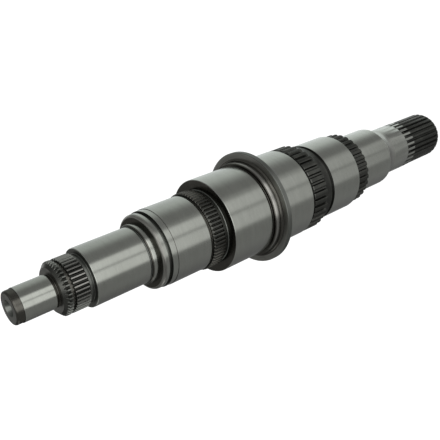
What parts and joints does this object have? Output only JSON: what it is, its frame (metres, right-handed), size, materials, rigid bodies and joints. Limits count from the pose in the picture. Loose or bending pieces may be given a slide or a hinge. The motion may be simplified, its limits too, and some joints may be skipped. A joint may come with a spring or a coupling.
{
  "type": "transmission main shaft",
  "caption": "Stepped steel main shaft with ground journals, splined bands, a flange and a splined output end.",
  "frame": {"origin": "centre of the output end's face, on which the shaft stands", "axes": "+Z along the shaft's axis from the output end to the nose; the middle of a fine tooth lies 3 degrees from -Y, towards -X"},
  "size_m": [0.1092, 0.109, 0.5393],
  "materials": {
    "ground_steel": "bright ground journals, dark unground teeth, necks and flange"
  },
  "bodies": {
    "root": {"main_shaft": "ground_steel"}
  },
  "joints": []
}
